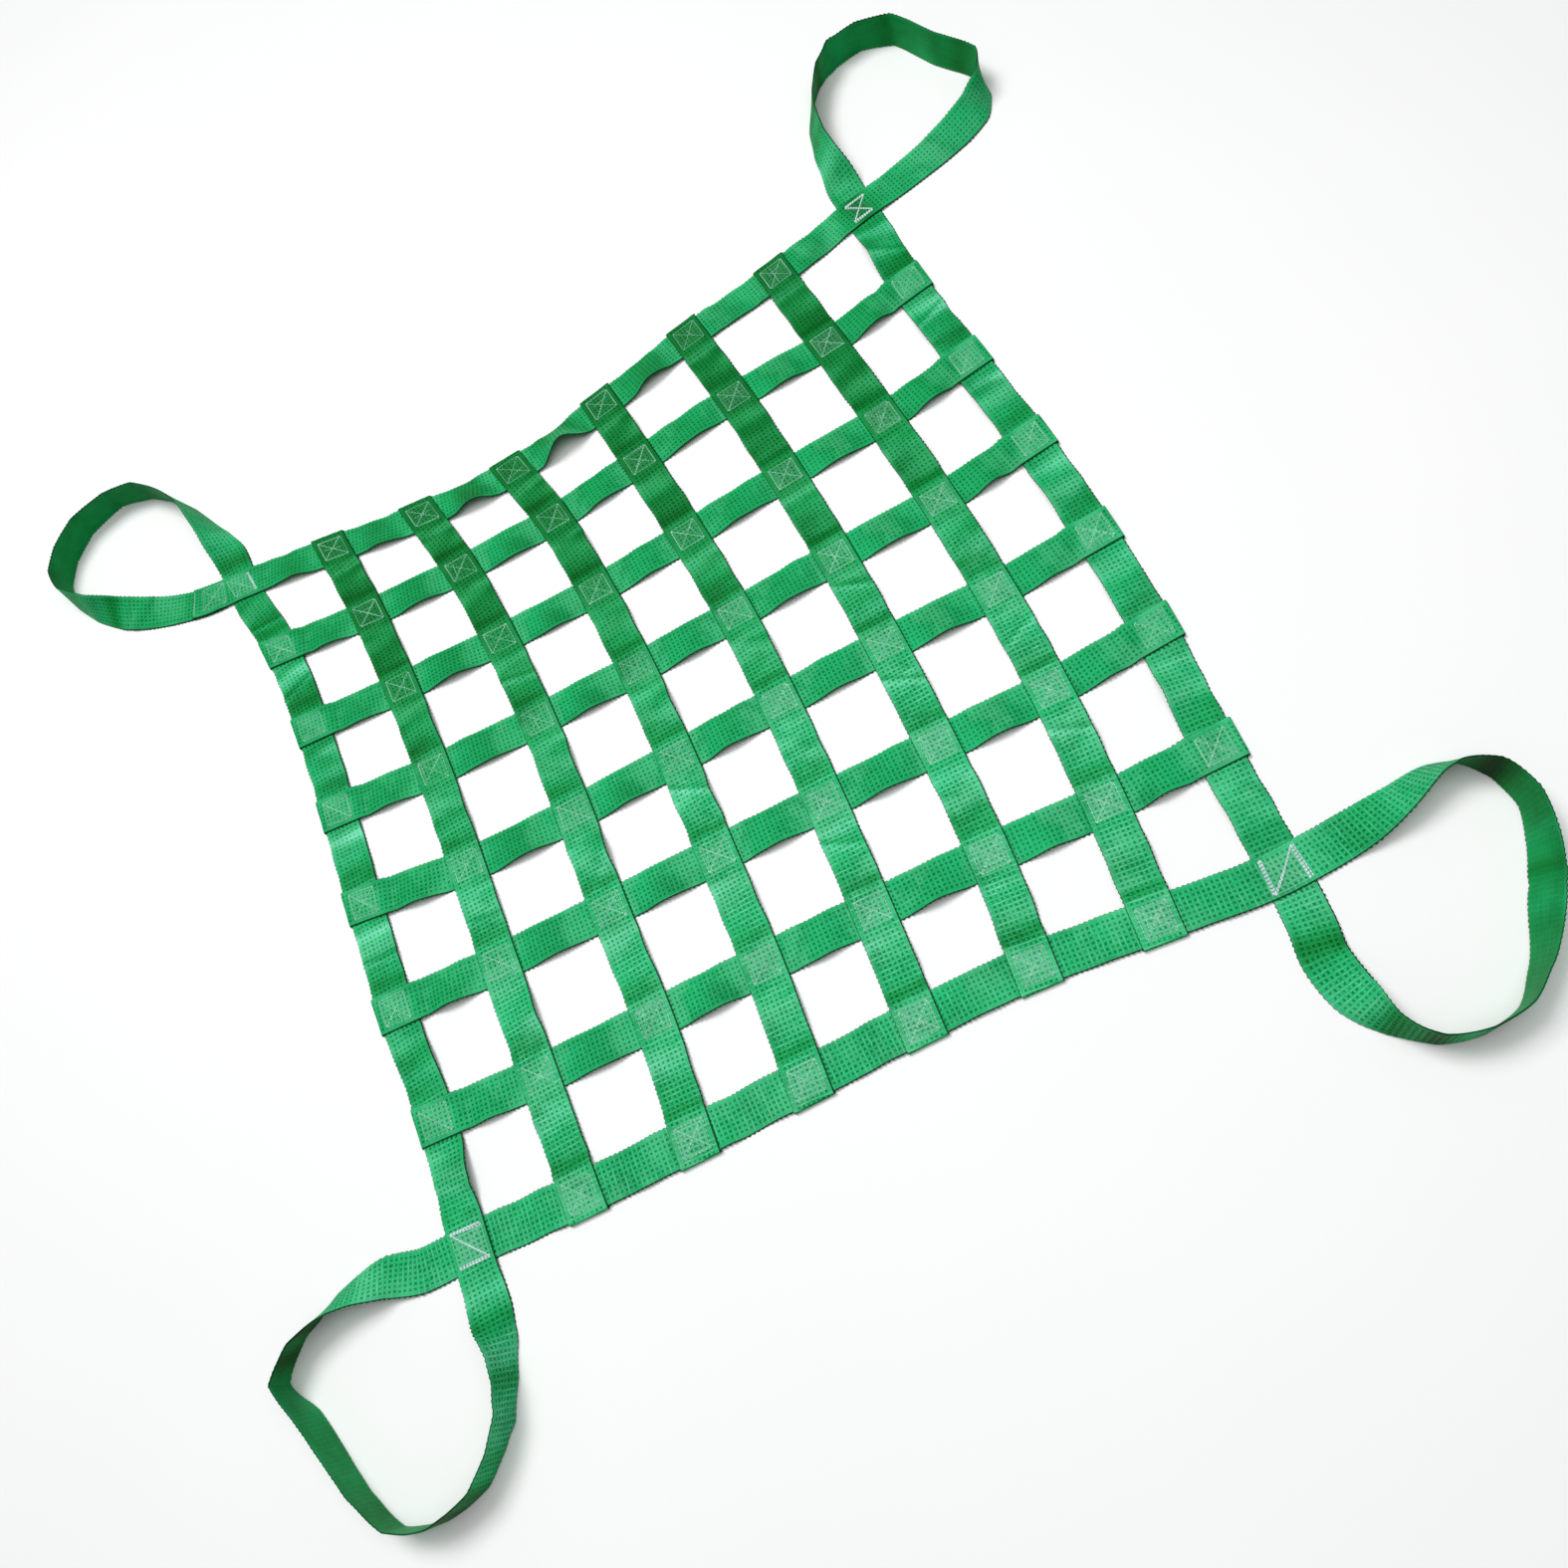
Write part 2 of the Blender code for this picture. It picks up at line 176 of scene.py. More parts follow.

# Painted shade and light at places by route and number of the span: share of the span, level, mm
# long
PAINTED_SHADING_PLACES = {
    ("nw", 0): (
        (0.05, -1.8, 14), (0.11, 0.5, 18), (0.23, -1.4, 18), (0.66, -0.6, 15), (0.745, -1.5, 12),
        (0.8, -0.4, 40),
    ),
    ("ne", 0): (
        (0.0, -2.0, 20), (0.315, -1.2, 12), (0.375, -1.3, 18), (0.46, 0.6, 18), (0.54, -1.0, 12),
        (0.645, 0.6, 20), (0.7, -1.8, 15), (0.79, -1.8, 14), (0.84, -0.8, 10), (0.89, 0.9, 14),
    ),
    ("se", 0): (
        (0.04, 0.6, 14), (0.105, -1.9, 16), (0.165, 0.4, 12), (0.235, -1.8, 16), (0.28, -3.0, 18),
        (0.345, -2.2, 15), (0.52, 1.0, 18), (0.565, -1.3, 8), (0.61, 0.7, 10), (0.65, -0.8, 12),
        (0.71, -3.2, 24), (0.78, 0.3, 15), (0.895, -0.5, 20),
    ),
    ("sw", 0): (
        (0.15, 0.3, 15), (0.24, -3.0, 16), (0.29, -2.6, 16), (0.37, 0.6, 20), (0.54, -0.8, 18),
        (0.65, -3.2, 20), (0.69, -2.2, 14), (0.73, -0.8, 12), (0.79, 0.4, 12), (0.825, -1.1, 9),
        (0.855, 0.6, 10), (0.895, -1.4, 12), (0.935, 0.8, 12),
    ),
    ("west", 6): ((0.5, -0.9, 45),),
    ("west", 5): ((0.25, -0.8, 20),),
    ("west", 4): ((0.85, -0.7, 20),),
    ("west", 1): ((0.6, -0.9, 22),),
    ("east", 0): ((0.85, -0.8, 20),),
}

# Wrinkles, listed the same way: share of the span, mm high, mm long, slant
WRINKLES = {
    ("east", 0): ((0.62, 1.3, 5, 0.3),),
    ("east", 1): ((0.35, 1.6, 5, -0.4),),
    ("west", 2): ((0.45, 1.6, 5, 0.1),),
    ("west", 5): ((0.5, 1.2, 5, -0.4),),
    ("west", 6): ((0.3, 1.2, 4, 0.3),),
    ("west", 0): ((0.45, 1.5, 6, 0.3),),
    ("nw", 0): ((0.80, 2.2, 8, 0.5), (0.77, 1.5, 6, 0.2)),
    ("ne", 0): ((0.66, 2.5, 9, -0.4),),
    ("se", 0): ((0.55, 1.6, 6, 0.1),),
    ("sw", 0): ((0.78, 1.8, 8, 0.3), (0.86, 1.5, 9, -0.2)),
    ("column_strap_4", 5): ((0.35, 1.6, 5, 0.4),),
    ("column_strap_5", 4): ((0.3, 1.6, 5, 0.5),),
    ("column_strap_5", 3): ((0.25, 1.4, 5, 0.5),),
    ("column_strap_3", 4): ((0.25, 1.5, 5, 0.5),),
    ("column_strap_6", 4): ((0.4, 1.4, 5, -0.4),),
    ("column_strap_6", 5): ((0.3, 1.6, 5, 0.4),),
    ("column_strap_1", 4): ((0.6, 1.3, 6, 0.2),),
    ("column_strap_2", 2): ((0.5, 1.3, 5, 0.3),),
}


def bracket(knots, at):
    """The knot before each place, and the share of the way on to the next."""
    i = np.clip(np.searchsorted(knots, at) - 1, 0, len(knots) - 2)
    return i, ((at - knots[i]) / (knots[i + 1] - knots[i]))[:, None]


def unit(vector):
    return vector / np.linalg.norm(vector, axis=-1)[..., None]


def walked(points):
    """Distance from the first point to each."""
    steps = np.linalg.norm(np.diff(points, axis=0), axis=1)
    return np.concatenate(([0.0], np.cumsum(steps)))


def left_of(ahead):
    return np.stack((-ahead[..., 1], ahead[..., 0]), axis=-1)


class Spline:
    """Cubic curve through values at rising knots; limited, it never passes its values."""

    def __init__(self, knots, values, limited=False):
        self.knots = np.asarray(knots, float)
        self.values = np.asarray(values, float).reshape(len(knots), -1)
        steps = np.diff(self.knots)[:, None]
        chords = np.diff(self.values, axis=0) / steps
        before, after = chords[:-1], chords[1:]
        inner = (before * steps[1:] + after * steps[:-1]) / (steps[:-1] + steps[1:])
        if limited:
            steepest = 3 * np.minimum(np.abs(before), np.abs(after))
            inner = np.clip(inner, -steepest, steepest) * (before * after > 0)
        self.slopes = np.vstack((chords[:1], inner, chords[-1:]))

    def __call__(self, at):
        i, t = bracket(self.knots, at)
        step = (self.knots[i + 1] - self.knots[i])[:, None]
        start, end = self.values[i], self.values[i + 1]
        ease = t * t * (3 - 2 * t)
        bend = t * (1 - t) * ((1 - t) * self.slopes[i] - t * self.slopes[i + 1]) * step
        return start + (end - start) * ease + bend


class Route:
    """A strap's middle line in plan, read by the distance along it."""

    FINE = 40

    def __init__(self, points, closed=False):
        points = np.asarray(points, float)
        self.stiff = None  # distances, and how far the line is bent in kinks there
        lead = 2 if closed else 0
        if closed:
            points = np.vstack((points[-2:], points, points[:3]))
        knots = walked(points)
        self.knots, self.corners = knots, points
        self.curve = Spline(knots, points)
        spans = [np.linspace(a, b, self.FINE, endpoint=False) for a, b in zip(knots, knots[1:])]
        self.params = np.concatenate(spans + [knots[-1:]])
        self.lengths = walked(self.curve(self.params))
        self.lengths -= self.lengths[lead * self.FINE]
        marks = self.lengths[:: self.FINE]
        self.closed = closed
        self.marks = marks[lead : len(marks) - lead]
        self.length = self.marks[-1]

    def point(self, along):
        if self.closed:
            along = along % self.length
        at = np.interp(along, self.lengths, self.params)
        smooth = self.curve(at)
        if self.stiff is None:
            return smooth
        straight = [np.interp(at, self.knots, self.corners[:, axis]) for axis in (0, 1)]
        share = np.interp(along, *self.stiff)[:, None]
        return smooth + (np.stack(straight, axis=1) - smooth) * share

    def heading(self, along):
        reach = MM if self.stiff is None else 5 * MM
        return unit(self.point(along + reach) - self.point(along - reach))

    def firm(self, along):
        """1 in the eyes, which hardly flutter, and 0 in the net."""
        if self.stiff is None:
            return np.zeros_like(along)
        return np.clip(np.interp(along, *self.stiff) / SOFT_STIFF, 0, 1)

    def y(self, along):
        return self.point(np.array([along]))[0, 1]


def lattice():
    """Middle of every crossing in plan, as crossing[row][column]."""
    every, half = np.arange(LAST + 1), LAST / 2 * PITCH
    rows, columns = (
        np.array([Spline(SWAY_AT, sway)(every)[:, 0] for sway in table]) * MM
        for table in (ROW_SWAY, COLUMN_SWAY)
    )
    x = every * PITCH - half + columns.T + NET_MIDDLE[0]
    y = half - every[:, None] * PITCH + rows + NET_MIDDLE[1]
    return np.stack((x, y), axis=-1)


def skew_between(route, along, other_heading):
    """How far the strap slants on another one: shift along it for each step across."""
    ahead = route.heading(np.array([along]))[0]
    return float(other_heading @ ahead) / float(other_heading @ left_of(ahead))


def land(skew):
    return LAND * math.hypot(1, skew)


def rise(offset, flat, ramp):
    """1 on the flat of a crossing, falling to 0 at the end of its ramp."""
    share = np.clip((np.abs(offset) - flat) / ramp, 0.0, 1.0)
    return 0.5 * (1 + np.cos(np.pi * share))


class Lie:
    """How a strap lies along its route, read at many distances at once."""

    def __init__(self, route, crossings, spans, ramp, lean=None, skews=()):
        self.route, self.crossings, self.spans = route, crossings, spans
        self.ramp, self.lean_along = ramp, lean
        marks = [(d + side * LAND, skew) for d, _, skew in crossings for side in (-1, 1)]
        self.skews = tuple(zip(*sorted(marks + list(skews))))

    def swell(self, along):
        """Lean and lift of the spans between crossings."""
        lean, lift = np.zeros_like(along), np.zeros_like(along)
        for start, end, most, high in self.spans:
            share = np.clip((along - start) / (end - start), 0.0, 1.0)
            share = np.sin(np.pi * share) ** 2
            lean += math.radians(most) * share
            lift += high * share
        return lean, lift

    def lean(self, along):
        lean = self.swell(along)[0]
        if self.lean_along:
            lean = lean + np.radians(self.lean_along(along)[:, 0])
        return lean

    def height(self, along):
        lean, (_, lift) = self.lean(along), self.swell(along)
        height = THICKNESS / 2 * np.abs(np.cos(lean)) + lift
        height += (WIDTH / 2 + EDGE_ROOM) * np.abs(np.sin(lean))
        for middle, layers, skew in self.crossings:
            height += layers * LAYER * rise(along - middle, land(skew), self.ramp)
        return height

    def free(self, along):
        """1 where the strap is free of others, 0 where it is sewn down."""
        held = np.zeros_like(along)
        for middle, _, skew in self.crossings:
            held = np.maximum(held, rise(along - middle, land(skew), HELD_RAMP))
        return 1 - held


def span_list(marks, skews, leans, lifts):
    """Start, end, lean and lift of the spans between marks."""
    starts = [mark + land(skew) for mark, skew in zip(marks, skews)]
    ends = [mark - land(skew) for mark, skew in zip(marks[1:], skews[1:])]
    return list(zip(starts, ends, leans, lifts))


def wave(along, rng, longest, shortest, count=5):
    """Soft random wave along a strap, about -1 to 1."""
    total = np.zeros_like(along)
    for k in range(count):
        length = longest * (shortest / longest) ** (k / (count - 1)) * rng.uniform(0.85, 1.15)
        total += np.sin(2 * np.pi * along / length + rng.uniform(0, 6.28)) / math.sqrt(count)
    return total


def add_object(name, data, material=None):
    thing = bpy.data.objects.new(name, data)
    if material:
        data.materials.append(material)
    bpy.context.scene.collection.objects.link(thing)
    return thing


class Ribbon:
    """The woven strap as a closed mesh: a fine grid across and along its middle surface."""

    COLUMNS = range(-8, 9)  # between two more places at each selvedge
    ACROSS = np.array([-25.0, -24.4] + [2.9 * k for k in COLUMNS] + [24.4, 25.0]) * MM
    SHARE = np.array([0.0, 0.72] + [1.0] * len(COLUMNS) + [0.72, 0.0])
    DIMPLED = np.pad([k % 2 == 0 and abs(k) <= 6 for k in COLUMNS], 2)

    def __init__(self, name, lie, fold, stations, rng, spans_of, flutter):
        self.name, self.lie, self.rng, self.spans_of = name, lie, rng, spans_of
        self.stations = np.asarray(stations)
        phase = self.stations / STEP
        whole = np.abs(phase - np.round(phase)) < 0.01
        self.dimple_row = whole & (np.round(phase).astype(int) % HALVES == 0)
        uneven = 1 + 0.5 * wave(self.stations, rng, 0.05, 0.02)
        scallop = np.cos(2 * np.pi * phase / HALVES) * uneven
        self.across = np.tile(self.ACROSS, (len(self.stations), 1))
        for column, sign in ((0, -1), (1, -1), (-2, 1), (-1, 1)):
            self.across[:, column] += sign * SCALLOP * scallop
        centre = fold(self.stations)[0]
        self.middle = self.lay(fold, centre, flutter)
        self.normal = self.normals()
        heading = lie.route.heading(centre)
        # Painted light and shade: lighter where the cloth faces south and looks up, painted shade
        # on the folds
        facing = np.clip(-self.normal[..., 1] / FACING, *FACING_LIMITS)
        facing *= np.interp(lie.route.point(centre)[:, 1], *TONE_FADE)[:, None]
        upright = np.clip((self.normal[..., 2] - UPRIGHT) / UPRIGHT_REACH, 0, 1)
        upright = upright * (1 - PLAIN * lie.route.firm(centre))[:, None]
        tone = self.painted_shading(centre, heading[:, 1])[:, None] + facing * upright
        self.tone = np.clip(tone, *BORDER_LIMITS)
        if lie.route.stiff is None:
            self.tone = np.clip(tone, *INNER_LIMITS) - FOLD_SHADE * (1 - upright)
        # Painted shadow along the edge on the south-east side of the strap
        shaded = SHADED_HEADING[1] * heading[:, 1] + SHADED_HEADING[0] * heading[:, 0]
        shaded = np.clip(SHADED_SLOPE * shaded, -1, 1)
        self.rim = shaded[:, None] * self.across / (WIDTH / 2)

    def lay(self, fold, centre, flutter):
        """Middle surface as an array of points, stations by places across."""
        route = self.lie.route
        w = np.repeat(self.stations[:, None], self.across.shape[1], axis=1)
        u = self.across
        skew = np.interp(centre, *self.lie.skews)[:, None]
        along, height = fold((w - skew * u).ravel())
        lean = self.lie.lean(along).reshape(w.shape)
        free = self.lie.free(centre) * flutter * (1 - CALM * route.firm(centre))
        twist, sway, lift, cup = (
            (size * (mean + wave(self.stations, self.rng, longest, shortest)) * free)[:, None]
            for mean, size, longest, shortest in (TWIST, WEAVING, RISING, CUPPING)
        )
        base = route.point(along).reshape(*w.shape, 2)
        ahead = route.heading(along).reshape(*w.shape, 2)
        side = left_of(ahead) + skew[..., None] * ahead
        side = side * (u * np.cos(lean) + sway)[..., None]
        self.middle = np.dstack((base + side, height.reshape(w.shape) + u * np.sin(lean)))
        off = lift + np.abs(u) * np.abs(twist) + u * twist
        off = off + cup * (np.abs(u) / WIDTH * 2) ** 2
        off = off + self.wrinkles(centre, u)
        return self.middle + self.normals() * off[..., None]

    def places(self, table):
        """A table's places on this strap, each with the start and end of its span."""
        for (route, number), places in table.items():
            if route in self.spans_of:
                for place in places:
                    yield *self.spans_of[route][number][:2], *place

    def wrinkles(self, centre, u):
        total = np.zeros(u.shape)
        for start, end, share, high, long, slant in self.places(WRINKLES):
            off = centre[:, None] - (start + (end - start) * share) - slant * u
            total += high * MM * np.exp(-((off / (long * MM)) ** 2))
        return total

    def painted_shading(self, centre, heading_y):
        """Painted light and shade along the strap: by the spans, the crossings and the listed
        places.
        """
        total = np.zeros_like(centre)
        route, steep = self.lie.route, np.abs(heading_y)
        places, levels = zip(*PAINTED_SHADING_ALONG)
        for start, end, _, _ in self.lie.spans:
            share = (centre - start) / (end - start)
            share = np.where(heading_y < 0, share, 1 - share)
            strength = self.rng.uniform(*TONE_STRENGTH)
            strength *= np.interp(route.y((start + end) / 2), *TONE_FADE)
            total += np.interp(share, places, levels, left=0, right=0) * strength * steep
        for middle, _, _ in self.lie.crossings:
            shade = CROSSING_SHADE * np.interp(route.y(middle), *CROSSING_FADE)
            total -= shade * np.exp(-(((centre - middle) / CROSSING_REACH) ** 2)) * steep
        for start, end, share, level, reach in self.places(PAINTED_SHADING_PLACES):
            off = (centre - start - (end - start) * share) / (reach * MM)
            total += level * np.exp(-(off**2))
        return total

    def normals(self):
        forward = np.gradient(self.middle, self.stations, axis=0)
        sideways = np.gradient(self.middle, axis=1)
        return unit(np.cross(forward, sideways))

    def surface(self, w, u, side=1):
        """Points and normals on the top (side 1) or bottom (-1) face at places (w, u)."""
        (i, f), (j, g) = bracket(self.stations, w), bracket(self.ACROSS, u)

        def read(grid):
            low = grid[i, j] * (1 - g) + grid[i, j + 1] * g
            high = grid[i + 1, j] * (1 - g) + grid[i + 1, j + 1] * g
            return low * (1 - f) + high * f

        normal = unit(read(self.normal))
        return read(self.middle) + side * HALF * normal, side * normal

    def mesh_object(self, material, suffix, sewn, first=0, last=None):
        """The strap, or a stretch of it, as an object with its weave and painted light and shade
        data.
        """
        pick = slice(first, last)
        middle, normal = self.middle[pick], self.normal[pick]
        rows, columns = middle.shape[:2]
        row_noise = np.random.default_rng(self.rng.randrange(1 << 30))
        deep = DIMPLE_DEPTH * row_noise.uniform(0.7, 1.3, (2, rows, columns))
        dimple = self.dimple_row[pick][:, None] & self.DIMPLED
        ribs = np.where(self.dimple_row[pick], 0.0, RIB_HEIGHT)[:, None]
        thick = HALF * self.SHARE + (self.SHARE == 1.0) * ribs
        top = thick - dimple * deep[0]
        bottom = thick - dimple * deep[1] * UNDER_DEPTH
        upper = middle + normal * top[..., None]
        lower = middle - normal * bottom[..., None]
        loop = np.concatenate((upper, lower[:, -2:0:-1]), axis=1)
        loop[..., 2] = np.maximum(loop[..., 2], LOWEST)
        ring = loop.shape[1]
        index = np.arange(rows * ring).reshape(rows, ring)
        ahead = np.roll(index, -1, axis=1)
        quads = np.stack((index[:-1], index[1:], ahead[1:], ahead[:-1]), axis=-1).reshape(-1, 4)
        faces = quads.tolist()
        for line, turn in ((index[0].tolist(), 1), (index[-1].tolist(), -1)):
            caps = [
                [line[k], line[k + 1], line[ring - k - 1], line[ring - k]]
                for k in range(1, columns - 2)
            ]
            caps += [line[:2] + line[-1:], line[columns - 2 : columns + 1]]
            faces += [cap[::turn] for cap in caps]
        mesh = bpy.data.meshes.new(self.name + suffix)
        mesh.from_pydata(loop.reshape(-1, 3).tolist(), [], faces)
        under = self.ACROSS[::-1] + UNDER_U * DIMPLE_PITCH
        around = np.concatenate((self.ACROSS, under)) / DIMPLE_PITCH
        weave = np.empty((rows - 1, ring, 4, 2))
        weave[..., :2, 0] = np.delete(around, (columns - 1, -1))[:, None]
        weave[..., 2:, 0] = np.delete(around, (0, columns))[:, None]
        here = self.stations[pick] / DIMPLE_PITCH
        weave[..., (0, 3), 1] = here[:-1, None, None]
        weave[..., (1, 2), 1] = here[1:, None, None]
        cap_corners = np.zeros((len(mesh.loops) - weave.size // 2, 2)) + (3.0, 0.5)
        weave = np.concatenate((weave.reshape(-1, 2), cap_corners))
        mesh.uv_layers.new(name="weave").data.foreach_set("uv", weave.ravel())
        for key, grid in (("sewn", sewn), ("tone", self.tone), ("rim", self.rim)):
            whole = np.concatenate((grid[pick], grid[pick, -2:0:-1]), axis=1)
            mesh.attributes.new(key, "FLOAT", "POINT").data.foreach_set("value", whole.ravel())
        mesh.shade_smooth()
        return add_object(self.name + suffix, mesh, material)


def stations_for(length, fine_zones=()):
    """Places along a strap, closer together in the fine zones."""
    base = [k * STEP for k in range(int(length / STEP) + 1)]
    if length - base[-1] > 0.4 * STEP:
        base.append(length)
    extra = [w + STEP / 2 for w in base[:-1] if any(a < w < b for a, b in fine_zones)]
    return sorted(base + extra)


def inner_ribbon(name, points, headings, over, lean_range, flutter, puff, rng):
    """A strap across the net with both ends folded round the border, and where it is sewn."""
    lead_in = points[0] + (points[0] - points[1]) * LEAD
    lead_out = points[-1] + (points[-1] - points[-2]) * LEAD
    route = Route(np.vstack((lead_in, points, lead_out)))
    marks = route.marks[1:-1]
    layers = [2] + [over] * (LAST - 1) + [2]
    skews = [skew_between(route, mark, head) for mark, head in zip(marks, headings)]
    leans = [rng.uniform(*lean_range) for _ in range(LAST)]
    lifts = [rng.uniform(*SPAN_LIFT) * MM for _ in range(LAST)]
    spans = span_list(marks, skews, leans, lifts)
    lie = Lie(route, list(zip(marks, layers, skews)), spans, INNER_RAMP)

    low, radius = THICKNESS / 2, LAYER
    room = WIDTH / 2 + FOLD_ROOM
    edge_in = marks[0] - room * math.hypot(1, skews[0])
    edge_out = marks[-1] + room * math.hypot(1, skews[-1])
    bend = math.pi * radius
    top_start = TAIL + bend
    top_end = top_start + edge_out - edge_in
    total = top_end + bend + TAIL

    def fold(w):
        """Distance along the route and height for webbing length w."""
        along = edge_in + (w - top_start)
        height = lie.height(np.clip(along, edge_in, edge_out))
        turn = np.clip((w - TAIL) / radius, 0.0, np.pi)
        first = w < top_start
        tail = edge_in - FOLD_REACH * np.sin(turn) + np.maximum(TAIL - w, 0)
        along = np.where(first, tail, along)
        height = np.where(first, low + radius * (1 - np.cos(turn)), height)
        turn = np.clip((w - top_end) / radius, 0.0, np.pi)
        last = w > top_end
        beyond = np.maximum(w - top_end - bend, 0)
        along = np.where(last, edge_out + (FOLD_REACH + puff) * np.sin(turn) - beyond, along)
        height = np.where(last, low + radius * (1 + np.cos(turn)), height)
        return along, height

    slack = 0.5 * WIDTH * max(abs(skews[0]), abs(skews[-1])) + 2 * MM
    zones = ((TAIL - slack, top_start + slack), (top_end - slack, top_end + bend + slack))
    stations = stations_for(total, zones)
    ribbon = Ribbon(name, lie, fold, stations, random.Random(name), {name: spans}, flutter)
    marks = [top_start + mark - edge_in for mark in marks]
    ribbon.marks = list(zip(marks, skews))
    tails = (TAIL + top_start - marks[0], 2 * top_end + bend - marks[-1])
    ribbon.tail_marks = list(zip(tails, skews[::LAST]))
    ribbon.length = total
    return ribbon


def eye_points(corner, crossing):
    north, west = corner[0] == "n", corner[1] == "w"
    middle = crossing[0 if north else LAST, 0 if west else LAST]
    outward = np.array((-MM if west else MM, MM if north else -MM))
    return [middle + outward * entry[:2] for entry in EYES[corner]]


def border_ribbon(crossing):
    """The border strap: round the net and its four eyes, with its ends lapped."""
    sides = {  # crossings of each side, and of the strap next to it
        "north": (crossing[0], crossing[1]),
        "east": (crossing[:, LAST], crossing[:, LAST - 1]),
        "south": (crossing[LAST, ::-1], crossing[LAST - 1, ::-1]),
        "west": (crossing[::-1, 0], crossing[::-1, 1]),
    }
    turns = ("ne", "se", "sw", "nw")
    points, leans, starts, eyes = [], [], [], []
    for (side_points, _), corner in zip(sides.values(), turns):
        starts.append(len(points))
        eye, eye_leans = eye_points(corner, crossing), [entry[2] for entry in EYES[corner]]
        if corner in ("se", "nw"):
            eye, eye_leans = eye[::-1], eye_leans[::-1]
        points += list(side_points)
        eyes.append((len(points), len(points) + len(eye)))
        points += eye
        leans += [0] * len(side_points) + eye_leans
    route = Route(points, closed=True)
    marks = route.marks
    lean = Spline(marks, leans + [0], limited=True)
    knees = [(0.0, 0.0)]
    for (first, last), stiff in zip(eyes, STIFF):
        knees += [(marks[first - 1], 0.0), (marks[first + 1], stiff)]
        knees += [(marks[last - 2], stiff), (marks[last], 0.0)]
    route.stiff = tuple(zip(*knees))

    crossings, spans, spans_of = [], [], {}
    over_corner, under_corner = [], []
    for (side, (outer, inner)), start in zip(sides.items(), starts):
        for k in range(LAST + 1):
            mark = marks[start + k]
            skew = skew_between(route, mark, unit(outer[k] - inner[k]))
            layers = END_LAYERS[side][k // LAST] if k in (0, LAST) else 1
            crossings.append((mark, layers, skew))
            if k in (0, LAST):
                (over_corner if layers else under_corner).append((LAP_START + mark, skew))
        at, _, skews = zip(*crossings[-LAST - 1 :])
        spans_of[side] = span_list(at, skews, SIDE_LEANS[side], [0.0] * LAST)
        spans += spans_of[side]
    for corner, (first, last) in zip(turns, eyes):
        spans_of[corner] = [(marks[first - 1], marks[last])]
    square = [(marks[a], 0.0) for a, _ in eyes] + [(marks[b - 1], 0.0) for _, b in eyes]
    lie = Lie(route, crossings, spans, BORDER_RAMP, lean, square)

    def fold(w):
        """Distance along the route and height for webbing length w; the lap lies on top."""
        along = w - LAP_START
        height = np.where(along < LAND, THICKNESS / 2 + LAYER, lie.height(along))
        return along, height

    total = LAP_START + route.length - LAP_END
    rng = random.Random(BORDER_SEED)
    stations = stations_for(total)
    ribbon = Ribbon("border_strap", lie, fold, stations, rng, spans_of, BORDER_FLUTTER)
    ribbon.corners, ribbon.undersides = over_corner, under_corner
    ribbon.middle_mark = LAP_START + marks[starts[2] + CUT_AT]
    ribbon.length = total
    return ribbon


# Sewing: lines of a pattern in mm, from (along, across) to (along, across)
STITCH_PITCH = 4.1 * MM
STITCH_GAP = 0.5 * MM
BOX = 17.5
SIDES = {
    "back": (-BOX, BOX, -BOX, -BOX),
    "front": (BOX, -BOX, BOX, BOX),
    "right": (-BOX, -BOX, BOX, -BOX),
    "left": (BOX, BOX, -BOX, BOX),
    "rising": (-BOX, -BOX, BOX, BOX),
    "falling": (-BOX, BOX, BOX, -BOX),
}
LAP_LINES = ((-33.5, -20, -33.5, 20), (-32.2, -20, -32.2, 20))
LAP_EXTRA = 0.2
TWICE = 0.35  # how often a line is sewn twice
TWICE_SHIFTS = (-1.5, 1.5, 2.0)
LOOSE_LINES = 9

# Thread: thickness, sides of a stitch, its rings as share of its length and of its thickness
FINE_THREAD = (0.9 * MM, 6)
HEAVY_THREAD = (1.9 * MM, 6)
HIDDEN_THREAD = (0.8 * MM, 4)
BEAD_RINGS = ((0.10, 0.75), (0.5, 1.0), (0.90, 0.75))
SUNK = 0.12
FLATNESS = 0.8

# Sewing of the corners from the north-west round: half box in mm, then by thread: heavy in
# three lines, heavy in two lines, and fine
CORNER_SEWING = (
    (17.5, (), ("front",), ("back", "left", "right", "rising", "falling")),
    (16.0, ("left", "right"), ("rising", "falling"), ()),
    (20.0, ("front", "back"), ("rising",), ("falling", "left")),
    (19.5, ("front", "back"), ("rising",), ("falling", "left", "right")),
)
CORNER_SHIFTS = ((-1.6, 0.0, 1.6), (-0.8, 0.8), (0.0,))
CORNER_WOBBLE = 0.7
CORNER_GAP = 0.1 * MM

# How much of the thread's colour the webbing has: at the corners, at the lap, elsewhere
CORNER_FROST = (0.4, 0.1, 0.6, 0.8)
LAP_FROST = 0.15
FROST_HALF = 0.0185
FROST_EDGE = 0.002


def box_lines(rng, extra):
    """Box and cross, some sides sewn twice, with more loose lines the higher extra is."""
    lines = list(SIDES.values())
    for line in SIDES.values():
        if rng.random() < TWICE + extra:
            shift = rng.choice(TWICE_SHIFTS)
            lines.append(tuple(v + shift * part for v, part in zip(line, (0.7, 0.3) * 2)))
    for _ in range(round(extra * LOOSE_LINES)):
        place, tilt = rng.uniform(-13, 13), rng.uniform(-6, 6)
        reach = rng.uniform(8, 15)
        if rng.random() < 0.5:
            lines.append((-reach, place, reach, place + tilt))
        else:
            lines.append((place, -reach, place + tilt, reach))
    return lines


